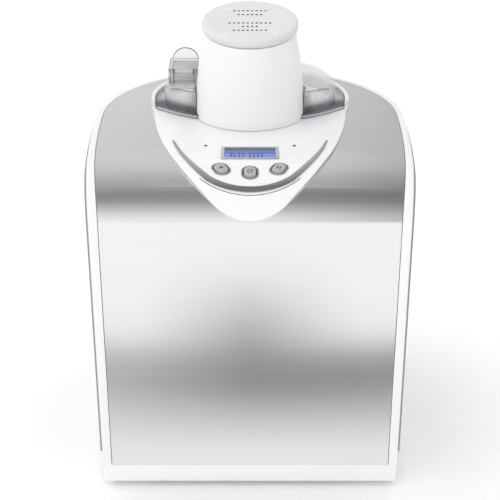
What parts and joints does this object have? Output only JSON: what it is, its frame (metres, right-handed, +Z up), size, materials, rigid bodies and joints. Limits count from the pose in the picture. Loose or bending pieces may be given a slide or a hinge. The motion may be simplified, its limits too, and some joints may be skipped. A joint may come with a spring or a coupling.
{
  "type": "ice cream maker",
  "caption": "Countertop compressor ice cream maker: bent steel front, white casing, clear hatched lid, lift-off geared power head, removable bowl with paddle.",
  "frame": {"origin": "on the table, under the middle of the machine's outline", "axes": "+Z up, +X right, the steel front faces -Y"},
  "size_m": [0.274, 0.3093, 0.3639],
  "materials": {
    "white_shell": "satin white moulded plastic",
    "brushed_steel": "stainless sheet brushed across",
    "silver_plastic": "silver painted plastic",
    "silver_trim": "satin chrome trim",
    "clear_plastic": "clear moulded plastic",
    "display_blue": "lit blue display window",
    "button_grey": "grey satin button",
    "indicator": "small dark indicator",
    "foot_rubber": "pale rubber",
    "bowl_aluminium": "anodised aluminium",
    "well_aluminium": "plain aluminium",
    "copper": "copper tube",
    "foam": "rigid foam",
    "dark_metal": "black paint",
    "galvanised": "galvanised plate",
    "dark_plastic": "black plastic",
    "circuit_green": "circuit board",
    "gear_nylon": "natural nylon",
    "seal_rubber": "grey rubber",
    "paddle_white": "white food-safe plastic",
    "shaft_steel": "ground steel"
  },
  "bodies": {
    "housing": {"casing_shell": "white_shell", "base_tray": "white_shell", "control_panel": "white_shell", "front_panel": "brushed_steel", "side_panel_left": "silver_plastic", "side_panel_right": "silver_plastic", "trim_crescent": "silver_trim", "display_bezel": "silver_trim", "display_window": "display_blue", "indicator_leds": "indicator", "feet": "foot_rubber", "bowl_well": "well_aluminium", "condenser": "well_aluminium", "evaporator_coil": "copper", "capillary_tube": "copper", "liquid_tube": "copper", "discharge_tube": "copper", "suction_tube": "copper", "filter_drier": "copper", "well_insulation": "foam", "compressor_base": "dark_metal", "compressor_dome": "dark_metal", "chassis_plate": "galvanised", "chassis_screws": "galvanised", "fan_motor": "galvanised", "rear_grille": "dark_plastic", "power_inlet": "dark_plastic", "start_relay": "dark_plastic", "fan_shroud": "dark_plastic", "button_switches": "dark_plastic", "display_module": "dark_plastic", "control_board": "circuit_green", "power_board": "circuit_green", "well_seal": "seal_rubber", "compressor_grommets": "seal_rubber"},
    "lid": {"lid": "clear_plastic", "hatch_pin": "clear_plastic"},
    "hatch": {"hatch_flap": "clear_plastic"},
    "power_head": {"motor_housing": "white_shell", "motor_cap": "white_shell", "cap_screws": "white_shell", "idler_axle": "shaft_steel", "gear_cover": "gear_nylon", "gear_tray": "gear_nylon", "output_bush": "shaft_steel", "motor_can": "galvanised"},
    "output": {"output_gear": "gear_nylon"},
    "idler": {"idler_gear": "gear_nylon"},
    "rotor": {"motor_rotor": "shaft_steel"},
    "bowl": {"inner_bowl": "bowl_aluminium"},
    "paddle": {"paddle": "paddle_white"},
    "handle": {"bowl_handle": "shaft_steel"},
    "left_button": {"button_left": "button_grey"},
    "middle_button": {"button_middle": "button_grey"},
    "right_button": {"button_right": "button_grey"},
    "fan": {"fan_blade": "dark_plastic"}
  },
  "joints": [
    {"name": "lid_lift", "type": "slide", "parent": "housing", "child": "lid", "axis": [0, 0, 1], "range_m": [0, 0.3]},
    {"name": "head_lift", "type": "slide", "parent": "lid", "child": "power_head", "axis": [0, 0, 1], "range_m": [0, 0.12]},
    {"name": "hatch_hinge", "type": "hinge", "parent": "lid", "child": "hatch", "pos_m": [-0.058, 0.0338, 0.3062], "axis": [1, 0, 0], "range_deg": [0, 100]},
    {"name": "output_spin", "type": "hinge", "parent": "power_head", "child": "output", "pos_m": [0, 0.046, 0.28], "axis": [0, 0, 1], "continuous": true},
    {"name": "idler_spin", "type": "hinge", "parent": "power_head", "child": "idler", "pos_m": [0.00997, 0.03348, 0.285], "axis": [0, 0, 1], "continuous": true},
    {"name": "rotor_spin", "type": "hinge", "parent": "power_head", "child": "rotor", "pos_m": [0, 0.015, 0.3], "axis": [0, 0, 1], "continuous": true},
    {"name": "bowl_lift", "type": "slide", "parent": "housing", "child": "bowl", "axis": [0, 0, 1], "range_m": [0, 0.13]},
    {"name": "paddle_spin", "type": "hinge", "parent": "bowl", "child": "paddle", "pos_m": [0, 0.046, 0.2], "axis": [0, 0, 1], "continuous": true},
    {"name": "handle_swing", "type": "hinge", "parent": "bowl", "child": "handle", "pos_m": [0, 0.046, 0.2655], "axis": [1, 0, 0], "range_deg": [0, 90]},
    {"name": "left_button_press", "type": "slide", "parent": "housing", "child": "left_button", "axis": [0, 0.1695, -0.9855], "range_m": [0, 0.0008], "stiffness_N_per_m": 400},
    {"name": "middle_button_press", "type": "slide", "parent": "housing", "child": "middle_button", "axis": [0, 0.2141, -0.9768], "range_m": [0, 0.0008], "stiffness_N_per_m": 400},
    {"name": "right_button_press", "type": "slide", "parent": "housing", "child": "right_button", "axis": [0, 0.1695, -0.9855], "range_m": [0, 0.0008], "stiffness_N_per_m": 400},
    {"name": "fan_spin", "type": "hinge", "parent": "housing", "child": "fan", "pos_m": [0.066, 0, 0.068], "axis": [1, 0, 0], "continuous": true}
  ],
  "couplings": [
    {"joint": "idler_spin", "follows": "rotor_spin", "ratio": -0.3125},
    {"joint": "output_spin", "follows": "rotor_spin", "ratio": 0.14205},
    {"joint": "paddle_spin", "follows": "rotor_spin", "ratio": 0.14205},
    {"joint": "bowl_lift", "follows": "lid_lift", "ratio": 0.43},
    {"joint": "handle_swing", "follows": "lid_lift", "rad_per_m": 5.2308}
  ]
}
